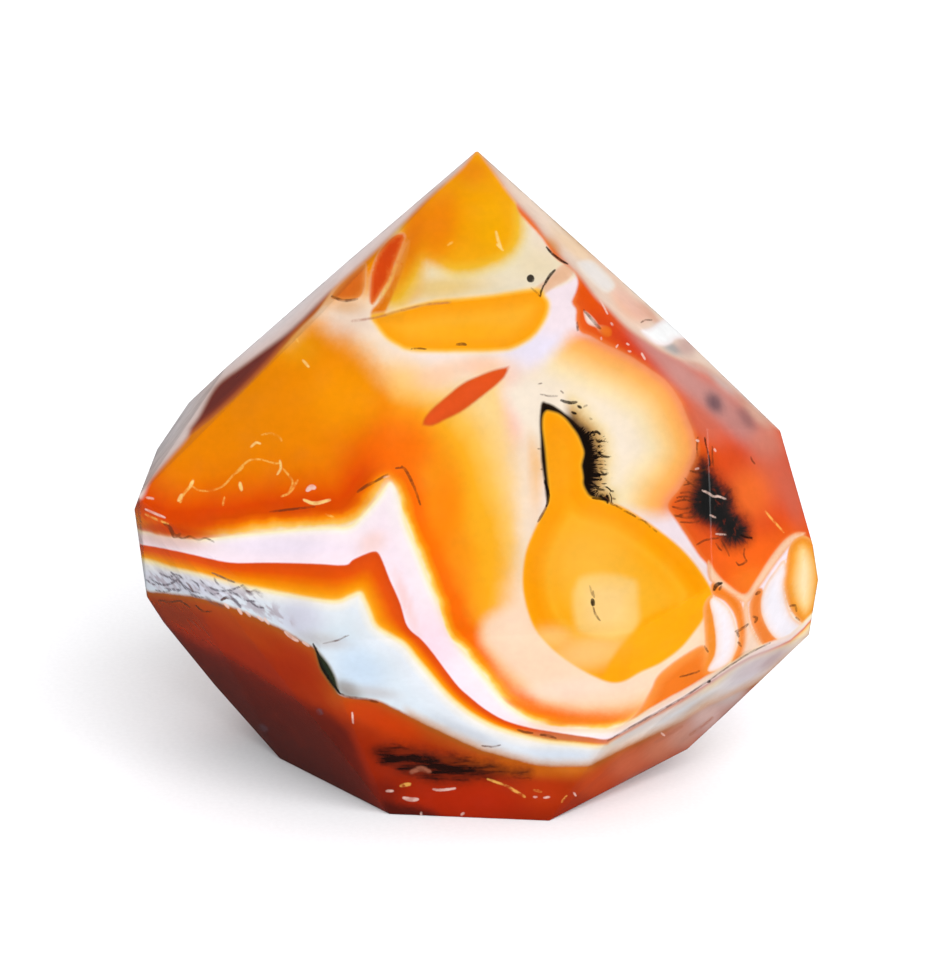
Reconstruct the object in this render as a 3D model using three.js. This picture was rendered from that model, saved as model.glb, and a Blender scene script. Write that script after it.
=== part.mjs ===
// Polished sardonyx freeform: one stone ground to a blunt point, standing on a flat foot.
// Millimetres, +Z up. The origin is on the table, under the point as seen from the front, and the banded
// show face looks towards -Y.

import * as THREE from "three";
import { ConvexGeometry } from "three/addons/geometries/ConvexGeometry.js";
import { mergeVertices } from "three/addons/utils/BufferGeometryUtils.js";

// Polishing
const edgeRadius = 0.35;
const roundingSegmentsAround = 8;
const roundingSegmentsUp = 6;

// Stone colour
const bodyColour = "#d9661a";
const polishRoughness = 0.12;

// Corners
// The flat facets meet at these points, given as the middle of each rounded corner: [x, y, z].
// A foot corner lies one edge radius above the table.
const corners = {
  point: [0.0, 11.0, 74.4],

  // front of the crown, left to right
  crownShoulderLeft: [-14.8, 6.2, 62.6],
  browLeft: [-18.5, -3.3, 58.1],
  browKink: [-10.2, -4.3, 58.8],
  browRight: [10.8, -3.7, 63.5],
  crownShoulderRight: [22.9, 0.7, 55.8],

  // left shoulder, down to the widest point
  shoulderHigh: [-29.2, 4.0, 50.2],
  shoulderCrease: [-29.9, -0.4, 49.1],
  shoulderMiddle: [-33.9, 8.5, 44.5],
  shoulderLow: [-37.4, 3.2, 40.4],
  leftTipUpper: [-38.5, -12.9, 40.0],
  leftTipLower: [-39.7, -3.8, 35.4],

  // front belly, where the upper facets turn under
  bellyLeft: [-17.8, -23.2, 26.2],
  bellyMiddle: [18.3, -25.7, 28.4],
  bellyRight: [26.6, -23.7, 33.2],
  bellyNotch: [30.1, -20.0, 30.7],

  // right cheek
  cheekInner: [26.2, -14.4, 48.5],
  cheekOuter: [34.8, -6.3, 45.7],
  rightTipUpper: [38.5, -11.2, 33.5],
  rightTipMiddle: [39.5, -6.9, 27.8],
  rightTipLower: [38.8, -3.7, 20.0],

  // keel between the lower front and the undercut on the right
  keelFront: [16.1, -20.5, 15.2],
  keelMiddle: [25.1, -15.5, 17.8],
  keelBack: [30.8, -14.0, 21.8],
  undercutSide: [29.5, -0.9, 9.2],
  undercutFoot: [25.0, -0.4, 4.5],

  // left flank, from the widest point down to the foot
  flankUpper: [-39.5, 11.4, 19.4],
  flankMiddle: [-37.7, 13.3, 15.5],
  flankLower: [-31.5, 11.1, 8.2],

  // back of the crown
  backCrownLeft: [-18.8, 25.8, 46.8],
  backCrownMiddle: [3.0, 30.7, 47.8],
  backCrownRight: [22.8, 19.8, 47.3],

  // back belly
  backTipLeft: [-33.7, 25.8, 29.9],
  backBellyLeft: [-14.9, 37.6, 25.0],
  backBellyRight: [13.9, 37.6, 28.0],
  backTipRight: [34.7, 20.8, 29.0],
  backLowRight: [30.7, 19.8, 12.2],
  backLowLeft: [-29.8, 26.8, 10.2],

  // foot
  footLeft: [-23.7, 7.2, edgeRadius],
  footFrontLeft: [-10.2, -10.8, edgeRadius],
  footFrontRight: [8.4, -12.9, edgeRadius],
  footRight: [16.4, 3.0, edgeRadius],
  footBackRight: [17.9, 15.9, edgeRadius],
  footBack: [3.0, 25.8, edgeRadius],
  footBackLeft: [-17.9, 19.9, edgeRadius],
};

// Rounded corner: points on a small ball with a pole straight down, so that the foot stays flat.
function ballPoints(radius) {
  const ball = new THREE.SphereGeometry(radius, roundingSegmentsAround, roundingSegmentsUp);
  ball.rotateX(Math.PI / 2);
  ball.deleteAttribute("normal");
  ball.deleteAttribute("uv");
  const merged = mergeVertices(ball, radius / 1000);
  const position = merged.getAttribute("position");
  const points = [];
  for (let index = 0; index < position.count; index += 1) {
    points.push(new THREE.Vector3().fromBufferAttribute(position, index));
  }
  return points;
}

// The stone is the tightest skin around all of its rounded corners, which gives flat facets and softened edges.
function stoneGeometry() {
  const ball = ballPoints(edgeRadius);
  const skinPoints = Object.values(corners).flatMap(([x, y, z]) => {
    const corner = new THREE.Vector3(x, y, z);
    return ball.map((point) => point.clone().add(corner));
  });
  const skin = new ConvexGeometry(skinPoints);
  skin.deleteAttribute("normal");
  const closed = mergeVertices(skin, edgeRadius / 1000);
  closed.computeVertexNormals();
  return closed;
}

const stoneMaterial = new THREE.MeshStandardMaterial({
  color: bodyColour,
  roughness: polishRoughness,
  metalness: 0,
});

const stone = new THREE.Mesh(stoneGeometry(), stoneMaterial);
stone.name = "sardonyx_freeform";

const part = new THREE.Group();
part.name = "sardonyx_freeform_part";
part.add(stone);

export default part;
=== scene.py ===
# Polished sardonyx freeform, dressed for the studio.
# The show face looks towards -Y, and its markings are drawn as the camera sees them.
import math

import bmesh
import bpy
import numpy as np
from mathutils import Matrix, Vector


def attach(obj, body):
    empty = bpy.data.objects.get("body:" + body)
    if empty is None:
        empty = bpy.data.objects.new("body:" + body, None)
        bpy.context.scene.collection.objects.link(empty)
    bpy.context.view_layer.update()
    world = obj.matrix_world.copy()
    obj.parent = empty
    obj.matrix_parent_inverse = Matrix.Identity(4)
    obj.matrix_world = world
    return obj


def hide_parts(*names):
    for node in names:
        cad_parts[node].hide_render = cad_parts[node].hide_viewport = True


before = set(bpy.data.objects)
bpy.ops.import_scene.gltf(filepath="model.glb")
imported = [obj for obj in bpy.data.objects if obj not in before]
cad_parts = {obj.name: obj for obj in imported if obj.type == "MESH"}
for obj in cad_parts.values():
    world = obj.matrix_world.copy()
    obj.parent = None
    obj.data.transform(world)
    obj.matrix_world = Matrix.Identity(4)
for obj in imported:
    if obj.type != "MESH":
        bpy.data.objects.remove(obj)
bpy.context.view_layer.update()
mm = 0.001


# Camera and floor

view = {
    "aim": (-0.35, 0.0, 38.0),  # mm, the middle of the picture
    "elevation": 18.0,          # degrees above the table
    "distance": 600.0,          # mm from the aim to the lens
    "frameWidth": 111.36,       # mm across the picture at the aim
    "sensor": 36.0,             # mm
    "clip": (0.01, 20.0),       # metres, nearest and farthest that it sees
}

lift = math.radians(view["elevation"])
rightWay = np.array((1.0, 0.0, 0.0))
upWay = np.array((0.0, math.sin(lift), math.cos(lift)))
backWay = np.array((0.0, -math.cos(lift), math.sin(lift)))
eyePoint = np.array(view["aim"]) + backWay * view["distance"]


def addCamera():
    data = bpy.data.cameras.new("camera")
    data.sensor_fit = "HORIZONTAL"
    data.sensor_width = view["sensor"]
    data.lens = view["sensor"] * view["distance"] / view["frameWidth"]
    data.clip_start, data.clip_end = view["clip"]
    camera = bpy.data.objects.new("camera", data)
    bpy.context.scene.collection.objects.link(camera)
    camera.location = Vector(eyePoint * mm)
    camera.rotation_euler = (math.radians(90.0 - view["elevation"]), 0.0, 0.0)
    bpy.context.scene.camera = camera


def hexColour(text):
    # a paint chip such as #ff9c00, as linear light
    parts = [int(text[start:start + 2], 16) / 255.0 for start in (1, 3, 5)]
    linear = [part / 12.92 if part <= 0.04045 else ((part + 0.055) / 1.055) ** 2.4 for part in parts]
    return (*linear, 1.0)


def fill(tree, node, sockets):
    # values or links on the inputs of a node
    for socket, value in sockets.items():
        if isinstance(value, bpy.types.NodeSocket):
            tree.links.new(value, node.inputs[socket])
        else:
            node.inputs[socket].default_value = value


def put(tree, kind, sockets=None, **settings):
    # one node, with its settings and its inputs
    node = tree.nodes.new(kind)
    for name, value in settings.items():
        setattr(node, name, value)
    fill(tree, node, sockets or {})
    return node


def calc(tree, operation, first, second=0.0, third=0.0):
    return put(tree, "ShaderNodeMath", {0: first, 1: second, 2: third}, operation=operation).outputs[0]


def blendColour(tree, share, below, above):
    node = put(tree, "ShaderNodeMix", data_type="RGBA", blend_type="MIX")
    fill(tree, node, {0: share, 6: below, 7: above})
    return node.outputs[2]


def soften(tree, value, low, high):
    # 0 below low, 1 above high, with an easy turn between
    sockets = {"Value": value, "From Min": low, "From Max": high}
    return put(tree, "ShaderNodeMapRange", sockets, interpolation_type="SMOOTHSTEP").outputs["Result"]


def rampOf(tree, value, stops):
    # colours by depth in mm
    low, high = stops[0][0], stops[-1][0]
    sockets = {"Value": value, "From Min": low, "From Max": high}
    share = put(tree, "ShaderNodeMapRange", sockets).outputs["Result"]
    ramp = put(tree, "ShaderNodeValToRGB", {"Fac": share})
    elements = ramp.color_ramp.elements
    while len(elements) < len(stops):
        elements.new(0.5)
    for element, (depth, colour) in zip(elements, stops):
        element.position = (depth - low) / (high - low)
        element.color = hexColour(colour)
    return ramp.outputs["Color"]


def newMaterial(name):
    material = bpy.data.materials.new(name)
    material.use_nodes = True
    tree = material.node_tree
    tree.nodes.clear()
    surface = put(tree, "ShaderNodeBsdfPrincipled")
    put(tree, "ShaderNodeOutputMaterial", {"Surface": surface.outputs[0]})
    return material, tree, surface


floor = {
    "size": 3000.0,            # mm across
    "squares": 24,             # along each side
    "drop": 0.02,              # mm below the foot, so that the two never share a plane
    "paper": "#c3c3c5",
    "tooth": "#c0c0c2",
    "toothSize": 1.6,          # per mm
    "toothDetail": 2.0,
    "toothRange": (0.3, 0.7),  # how sharply the tooth shows
    "roughness": 0.55,
    "specular": 0.25,
}


def addFloor():
    bm = bmesh.new()
    squares = floor["squares"]
    bmesh.ops.create_grid(bm, x_segments=squares, y_segments=squares, size=floor["size"] / 2 * mm)
    bmesh.ops.translate(bm, vec=(0.0, 0.0, -floor["drop"] * mm), verts=bm.verts)
    mesh = bpy.data.meshes.new("floor")
    bm.to_mesh(mesh)
    bm.free()
    paper = bpy.data.objects.new("floor", mesh)
    bpy.context.scene.collection.objects.link(paper)
    material, tree, surface = newMaterial("studioPaper")
    place = put(tree, "ShaderNodeTexCoord").outputs["Object"]
    sockets = {"Vector": place, "Scale": floor["toothSize"] / mm, "Detail": floor["toothDetail"]}
    tooth = put(tree, "ShaderNodeTexNoise", sockets).outputs["Fac"]
    share = soften(tree, tooth, *floor["toothRange"])
    shade = blendColour(tree, share, hexColour(floor["tooth"]), hexColour(floor["paper"]))
    fill(tree, surface, {
        "Base Color": shade,
        "Roughness": floor["roughness"],
        "Specular IOR Level": floor["specular"],
    })
    mesh.materials.append(material)
    paper.visible_glossy = False  # the polish mirrors the dim room


addCamera()
addFloor()
print("camera and floor set")


# Studio light

studio = {
    "roomLight": 0.72,      # even light from all round
    "roomGloss": 0.05,      # how bright the room looks in the polish
    # name, watts, size in mm (across, up), place in mm, seen in the polish
    "boxes": [
        ("keyBox", 2.2, (600, 450), (510, -425, 680), True),
        ("topBox", 1.2, (800, 800), (0, 100, 950), False),
    ],
    "boxAim": (0, 0, 30),   # mm
    # name, strength, softness in degrees, the way that the light falls, casts a shadow
    "paperLamps": [
        ("paperSide", 5.0, 40.0, (-0.25, 0.76, -0.60), True),
        ("paperTop", 0.8, 110.0, (-0.25, 0.20, -0.95), True),
        ("paperFill", 0.8, 5.0, (0.0, 0.0, -1.0), False),
    ],
}


def lightRoom():
    world = bpy.data.worlds.new("studioRoom")
    bpy.context.scene.world = world
    world.use_nodes = True
    tree = world.node_tree
    tree.nodes.clear()
    path = put(tree, "ShaderNodeLightPath")
    span = studio["roomGloss"] - studio["roomLight"]
    strength = calc(tree, "MULTIPLY_ADD", path.outputs["Is Glossy Ray"], span, studio["roomLight"])
    light = put(tree, "ShaderNodeBackground", {"Color": (1.0, 1.0, 1.0, 1.0), "Strength": strength})
    put(tree, "ShaderNodeOutputWorld", {"Surface": light.outputs[0]})


def hangLamp(data, energy, way):
    data.energy = energy
    lamp = bpy.data.objects.new(data.name, data)
    bpy.context.scene.collection.objects.link(lamp)
    lamp.rotation_euler = way.to_track_quat("-Z", "Y").to_euler()
    lamp.visible_camera = False
    return lamp


def hangLamps():
    paperAlone = bpy.data.collections.new("paperAlone")
    paperAlone.objects.link(bpy.data.objects["floor"])
    for name, watts, size, place, shine in studio["boxes"]:
        data = bpy.data.lights.new(name, "AREA")
        data.shape = "RECTANGLE"
        data.size, data.size_y = size[0] * mm, size[1] * mm
        lamp = hangLamp(data, watts, Vector(studio["boxAim"]) - Vector(place))
        lamp.location = Vector(place) * mm
        lamp.visible_glossy = shine
    for name, strength, softness, way, shadow in studio["paperLamps"]:
        data = bpy.data.lights.new(name, "SUN")
        data.angle = math.radians(softness)
        lamp = hangLamp(data, strength, Vector(way))
        lamp.visible_glossy = False
        lamp.light_linking.receiver_collection = paperAlone
        if not shadow:
            lamp.light_linking.blocker_collection = paperAlone


lightRoom()
hangLamps()
bpy.context.scene.view_settings.view_transform = "Standard"
bpy.context.scene.view_settings.look = "None"
print("studio light set")


# Markings, drawn over the picture of the stone, in its own points, across and down

picture = {
    "middle": (474.0, 478.5),  # the point that the camera aims at
    "stoneWidth": 681.0,       # points across the stone
    "realWidth": 80.0,         # mm across the stone
}
pointSize = picture["realWidth"] / picture["stoneWidth"]  # mm for each point of the picture

# Outlines of the bands, nodules and chips
drawing = {
    "whiteTop": [
        (90, 531), (141, 531), (160, 536), (190, 540), (212, 538), (250, 534), (300, 529), (330, 527),
        (349, 526), (363, 514), (377, 498), (385, 487), (390, 482), (395, 487), (400, 503), (407, 525),
        (419, 554), (430, 583), (437, 602), (444, 626), (452, 640), (469, 657), (485, 677), (505, 701),
        (525, 716), (545, 725), (580, 729), (612, 729), (632, 719), (650, 708), (668, 698), (690, 686),
        (708, 675), (730, 663), (760, 646), (790, 634), (860, 600), (860, 900), (90, 900),
    ],
    "whiteLow": [
        (90, 541), (141, 545), (175, 551), (205, 558), (231, 563), (270, 563), (310, 564), (345, 565),
        (352, 560), (365, 554), (376, 552), (382, 560), (390, 580), (400, 603), (408, 627), (422, 640),
        (434, 655), (446, 671), (458, 686), (469, 696), (485, 709), (505, 720), (530, 728), (560, 733),
        (590, 737), (612, 738), (650, 717), (681, 700), (708, 683), (744, 660), (790, 640), (860, 602),
        (860, 900), (90, 900),
    ],
    "blueTop": [
        (90, 555), (141, 558), (170, 566), (200, 573), (235, 582), (275, 590), (310, 597), (336, 599),
        (350, 594), (361, 591), (367, 600), (372, 612), (378, 625), (392, 634), (406, 643), (418, 657),
        (430, 672), (445, 690), (460, 704), (480, 718), (505, 729), (540, 738), (575, 742), (604, 745),
        (614, 741), (650, 720), (681, 703), (708, 686), (744, 663), (790, 643), (860, 605), (860, 900),
        (90, 900),
    ],
    "redTop": [
        (90, 592), (150, 592), (175, 594), (200, 598), (230, 606), (262, 620), (285, 631), (305, 643),
        (316, 649), (320, 660), (326, 673), (334, 686), (340, 695), (355, 698), (375, 700), (395, 708),
        (430, 726), (455, 738), (480, 749), (510, 758), (540, 765), (585, 766), (597, 762), (620, 750),
        (650, 736), (680, 722), (705, 708), (730, 696), (765, 678), (800, 650), (860, 600), (860, 900),
        (90, 900),
    ],
    "veil": [
        (285, 336), (300, 324), (314, 320), (335, 331), (352, 341), (368, 355), (382, 374), (398, 386),
        (414, 392), (434, 395), (456, 392), (478, 386), (493, 378), (503, 398), (506, 422), (508, 448),
        (510, 480), (511, 512), (512, 560), (508, 600), (500, 640), (508, 672), (532, 690), (565, 698),
        (600, 702), (640, 704), (668, 695), (700, 680), (740, 662), (790, 640), (860, 605), (860, 150),
        (520, 150), (500, 240), (420, 280), (372, 290), (340, 296), (310, 310),
    ],
    "lobe": [
        (500, 392), (530, 372), (552, 350), (575, 330), (602, 332), (630, 342), (654, 354), (682, 372),
        (704, 398), (716, 430), (714, 460), (700, 485), (690, 505), (672, 516), (650, 518), (620, 512),
        (590, 505), (560, 480), (530, 440),
    ],
    "redSide": [
        (517, 200), (524, 205), (540, 225), (556, 243), (572, 258), (590, 281), (605, 297), (628, 317),
        (650, 333), (672, 347), (700, 352), (740, 390), (860, 430), (860, 520), (815, 545), (800, 535),
        (787, 540), (776, 552), (765, 568), (752, 588), (745, 598), (735, 592), (722, 583), (712, 570),
        (700, 556), (688, 538), (676, 520), (668, 508), (670, 500), (680, 488), (690, 470), (696, 452),
        (693, 432), (686, 415), (678, 398), (667, 382), (652, 370), (632, 358), (608, 346), (590, 336),
        (580, 332), (576, 322), (576, 310), (572, 302), (576, 292), (578, 282), (575, 273), (567, 266),
        (555, 257), (540, 236), (519, 213),
    ],
    "pear": [
        (546, 412), (551, 412), (558, 415), (565, 420), (571, 427), (577, 436), (581, 446), (583, 452),
        (582, 458), (580, 465), (581, 472), (582, 478), (582, 484), (585, 490), (590, 497), (600, 500),
        (607, 503), (620, 507), (640, 518), (660, 532), (680, 548), (695, 565), (707, 583), (712, 594),
        (709, 604), (703, 618), (694, 632), (680, 648), (660, 662), (640, 672), (625, 680), (612, 682),
        (598, 678), (580, 668), (560, 655), (545, 640), (534, 625), (527, 605), (523, 585), (524, 565),
        (528, 548), (535, 530), (543, 514), (549, 502), (550, 490), (548, 470), (546, 450), (544, 430),
        (544, 418),
    ],
    # painted reflection: the pale square of a window mirrored on the pear
    "pearHeart": [
        (578, 578), (590, 573), (612, 572), (630, 576), (638, 582), (640, 600), (640, 622), (632, 634),
        (610, 640), (590, 638), (576, 630), (572, 612), (572, 592),
    ],
    "pearLee": [
        (720, 590), (700, 640), (660, 700), (600, 700), (606, 668), (618, 648), (632, 632), (646, 616),
        (668, 606), (690, 598),
    ],
    "oval": [
        (372, 316), (376, 325), (386, 338), (398, 346), (408, 350), (430, 352), (470, 352), (500, 351),
        (515, 347), (530, 339), (540, 328), (547, 315), (549, 304), (545, 296), (536, 289), (500, 294),
        (464, 298), (434, 301), (407, 307), (386, 313),
    ],
    "leaf": [
        (423, 425), (423, 425), (425, 418), (432, 409), (445, 398), (462, 384), (478, 376), (494, 370),
        (509, 367), (509, 367), (505, 376), (495, 386), (480, 398), (462, 411), (445, 420), (432, 426),
    ],
    "crownPool": [
        (378, 313), (384, 296), (392, 278), (402, 258), (411, 240), (418, 220), (426, 196), (440, 150),
        (520, 150), (521, 212), (540, 235), (555, 254), (566, 262), (577, 272), (571, 281), (545, 290),
        (500, 294), (464, 298), (434, 301), (407, 307),
    ],
    "amberTop": [
        (470, 130), (446, 158), (424, 182), (408, 200), (400, 216), (403, 232), (405, 246), (400, 262),
        (394, 278), (388, 296), (398, 300), (408, 286), (416, 272), (424, 258), (436, 261), (452, 269),
        (470, 269), (490, 263), (505, 256), (514, 246), (518, 235), (519, 220), (520, 205), (530, 190),
        (500, 150),
    ],
    "tanStreak": [
        (409, 240), (408, 252), (403, 268), (397, 284), (390, 302), (382, 318), (374, 322), (371, 312),
        (378, 303), (386, 291), (393, 277), (399, 262), (404, 248),
    ],
    "wedgeRed": [
        (401, 233), (405, 236), (402, 248), (396, 262), (389, 280), (382, 291), (374, 303), (370, 303),
        (369, 290), (371, 274), (376, 258), (383, 246), (392, 237),
    ],
    "wedgeBrown": [
        (331, 297), (338, 287), (350, 274), (363, 264), (366, 266), (366, 278), (364, 290), (358, 298),
        (346, 301), (336, 300),
    ],
    "fringe": [
        (542, 404), (546, 404), (553, 406), (561, 411), (570, 418), (577, 425), (584, 432), (590, 440),
        (592, 450), (593, 460), (593, 470), (592, 480), (590, 489), (593, 496), (600, 500), (590, 501),
        (583, 490), (578, 470), (578, 450), (570, 430), (556, 418), (549, 416), (548, 440), (551, 470),
        (553, 490), (550, 502), (547, 500), (545, 480), (542, 460), (541, 440), (540, 420),
    ],
    "soot": [
        (375, 750), (390, 747), (410, 748), (430, 753), (455, 758), (480, 763), (505, 769), (528, 772),
        (505, 775), (480, 777), (455, 779), (432, 779), (412, 773), (395, 766), (380, 760),
    ],
    "dendrite": [
        (703, 462), (708, 470), (714, 478), (721, 486), (728, 495), (731, 505), (734, 514), (741, 520),
        (746, 528), (745, 537), (738, 543), (729, 542), (722, 535), (715, 526), (706, 522), (698, 516),
        (693, 508), (692, 497), (695, 488), (699, 478),
    ],
    "browTan": [
        (535, 289), (545, 281), (556, 270), (565, 264), (574, 271), (568, 280), (556, 286), (545, 294),
        (538, 297),
    ],
    "whiteChip": [
        (584, 311), (592, 317), (600, 328), (592, 326), (586, 322),
    ],
    "honeyChip": [
        (597, 326), (604, 325), (611, 329), (611, 336), (604, 336), (598, 331),
    ],
    "wing": [
        (315, 648), (319, 652), (324, 658), (329, 665), (334, 674), (337, 683), (339, 693), (333, 687),
        (326, 678), (320, 668), (317, 659),
    ],
    "eyeSpike": [
        (713, 597), (720, 600), (728, 607), (733, 616), (736, 630), (736, 645), (731, 660), (722, 668),
        (711, 672), (708, 668), (715, 655), (716, 637), (713, 617), (710, 603),
    ],
    "eyeRimLeft": [
        (704, 606), (712, 596), (716, 618), (719, 637), (718, 655), (708, 672), (698, 676), (705, 655),
        (705, 630),
    ],
    "eyeRimRight": [
        (712, 582), (726, 588), (740, 600), (745, 615), (746, 635), (743, 655), (731, 664), (738, 645),
        (738, 628), (734, 613), (724, 601), (712, 594),
    ],
    "stem": [
        (745, 597), (748, 606), (749, 618), (753, 632), (762, 645), (773, 649), (758, 658), (742, 657),
        (745, 640), (745, 620), (744, 606),
    ],
    "rightBand": [
        (757, 588), (763, 592), (762, 612), (769, 628), (779, 640), (784, 643), (768, 650), (756, 634),
        (750, 618), (750, 602),
    ],
    "crescent": [
        (784, 560), (776, 570), (767, 583), (762, 598), (762, 612), (768, 628), (778, 639), (792, 641),
        (809, 628), (803, 625), (792, 617), (786, 602), (784, 585), (786, 572),
    ],
    "rightOval": [
        (786, 562), (790, 546), (798, 537), (808, 537), (818, 548), (824, 570), (822, 600), (815, 616),
        (804, 624), (794, 615), (787, 602), (784, 583),
    ],
    "threads": [
        (708, 560), (716, 572), (728, 584), (745, 594), (756, 580), (770, 558), (784, 541), (796, 533),
        (806, 534), (792, 543), (777, 562), (762, 584), (749, 602), (741, 601), (726, 591), (710, 580),
    ],
    "pocket": [
        (612, 737), (628, 722), (642, 706), (651, 690), (657, 677), (670, 665), (686, 654), (703, 645),
        (709, 655), (711, 668), (720, 676), (690, 702), (660, 720), (635, 734),
    ],
    "leftStrip": [
        (182, 440), (186, 427), (194, 414), (202, 400), (209, 387), (219, 377), (237, 363), (259, 347),
        (282, 330), (302, 312), (331, 288), (318, 310), (300, 328), (285, 345), (262, 370), (232, 400),
        (205, 424),
    ],
    "rightSliver": [
        (478, 140), (600, 230), (700, 325), (735, 362), (765, 398), (788, 424), (782, 430), (760, 412),
        (738, 392), (716, 374), (698, 364), (684, 360), (664, 352), (645, 340), (626, 326), (610, 310),
        (597, 297), (580, 276), (567, 262), (550, 243), (535, 222), (517, 203), (500, 180),
    ],
    # painted highlight: the white glint on the right sliver facet
    "sliverHighlight": [
        (641, 330), (650, 328), (660, 321), (672, 317), (684, 330), (685, 338), (677, 339), (669, 345),
        (658, 345), (648, 338),
    ],
    "sliverCloud": [
        (577, 262), (590, 260), (601, 267), (615, 284), (606, 293), (592, 283), (580, 270),
    ],
    # painted reflection: grey-white room light mirrored on the grazing left sliver facets
    "leftSliverReflection": [
        (477, 120), (470, 158), (425, 200), (390, 236), (362, 262), (330, 290), (305, 316), (285, 334),
        (262, 351), (240, 367), (222, 380), (213, 390), (206, 402), (198, 416), (190, 428), (186, 438),
        (170, 456), (150, 480), (138, 500), (100, 500), (100, 380), (250, 220), (400, 140),
    ],
    "baseShade": [
        (312, 700), (327, 706), (340, 716), (350, 722), (357, 735), (366, 758), (376, 782), (388, 808),
        (395, 815), (396, 830), (330, 830), (150, 720), (120, 600), (150, 603), (175, 622), (205, 640),
        (235, 655), (265, 672), (290, 688),
    ],
    "cornerShade": [
        (378, 796), (395, 797), (415, 801), (432, 806), (446, 814), (452, 822), (440, 832), (380, 832),
        (376, 810),
    ],
    "crackle": [
        (146, 566), (170, 569), (200, 576), (235, 584), (262, 592), (282, 606), (296, 622), (285, 630),
        (262, 621), (230, 607), (200, 597), (175, 593), (148, 590),
    ],
    "veilLow": [
        (506, 612), (488, 622), (485, 640), (498, 656), (511, 670), (526, 684), (546, 698), (575, 706),
        (610, 706), (640, 698), (665, 684), (700, 655), (700, 620), (640, 600), (560, 600),
    ],
}

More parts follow.
